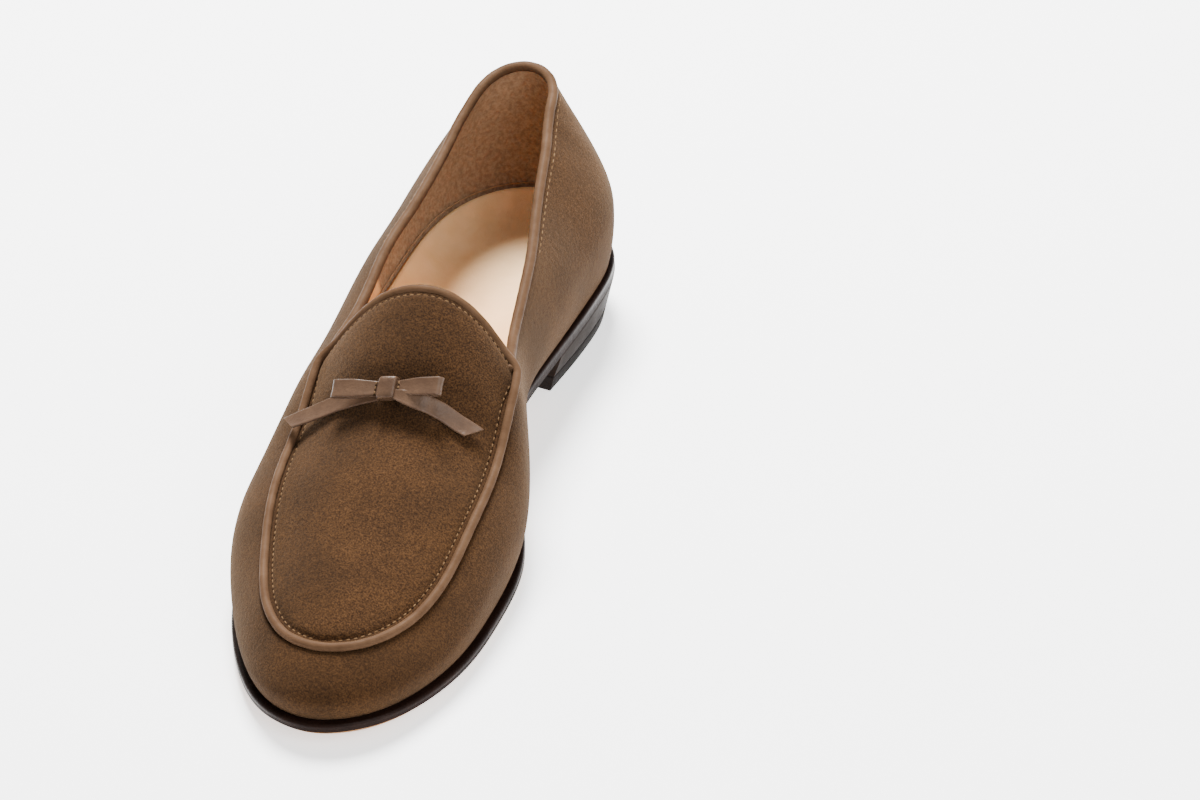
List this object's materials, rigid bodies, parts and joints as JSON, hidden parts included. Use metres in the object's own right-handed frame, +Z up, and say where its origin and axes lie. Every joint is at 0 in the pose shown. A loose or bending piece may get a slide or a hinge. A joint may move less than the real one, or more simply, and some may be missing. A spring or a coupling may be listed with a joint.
{
  "type": "loafer",
  "caption": "Right slip-on loafer: hollow upper with a piped apron, raised tongue and ribbon bow, on a thin sole with a stacked heel.",
  "frame": {"origin": "centre of the shoe's box, on the floor that it stands on", "axes": "+Z up, -Y towards the toe, +X towards the inner side of the right foot"},
  "size_m": [0.0992, 0.2976, 0.0913],
  "materials": {
    "suede": "brushed suede nap",
    "sole_leather": "burnished edge, natural underside",
    "heel_leather": "burnished stacked leather",
    "top_lift": "matt",
    "sock_leather": "smooth",
    "piping_leather": "smooth",
    "ribbon_leather": "smooth"
  },
  "bodies": {
    "root": {"upper": "suede", "outsole": "sole_leather", "heel_stack": "heel_leather", "heel_top_lift": "top_lift", "insole": "sock_leather", "apron_piping": "piping_leather", "topline_piping": "piping_leather", "bow_knot": "ribbon_leather", "bow_loop_medial": "ribbon_leather", "bow_loop_lateral": "ribbon_leather", "bow_tail_medial": "ribbon_leather", "bow_tail_lateral": "ribbon_leather"}
  },
  "joints": []
}
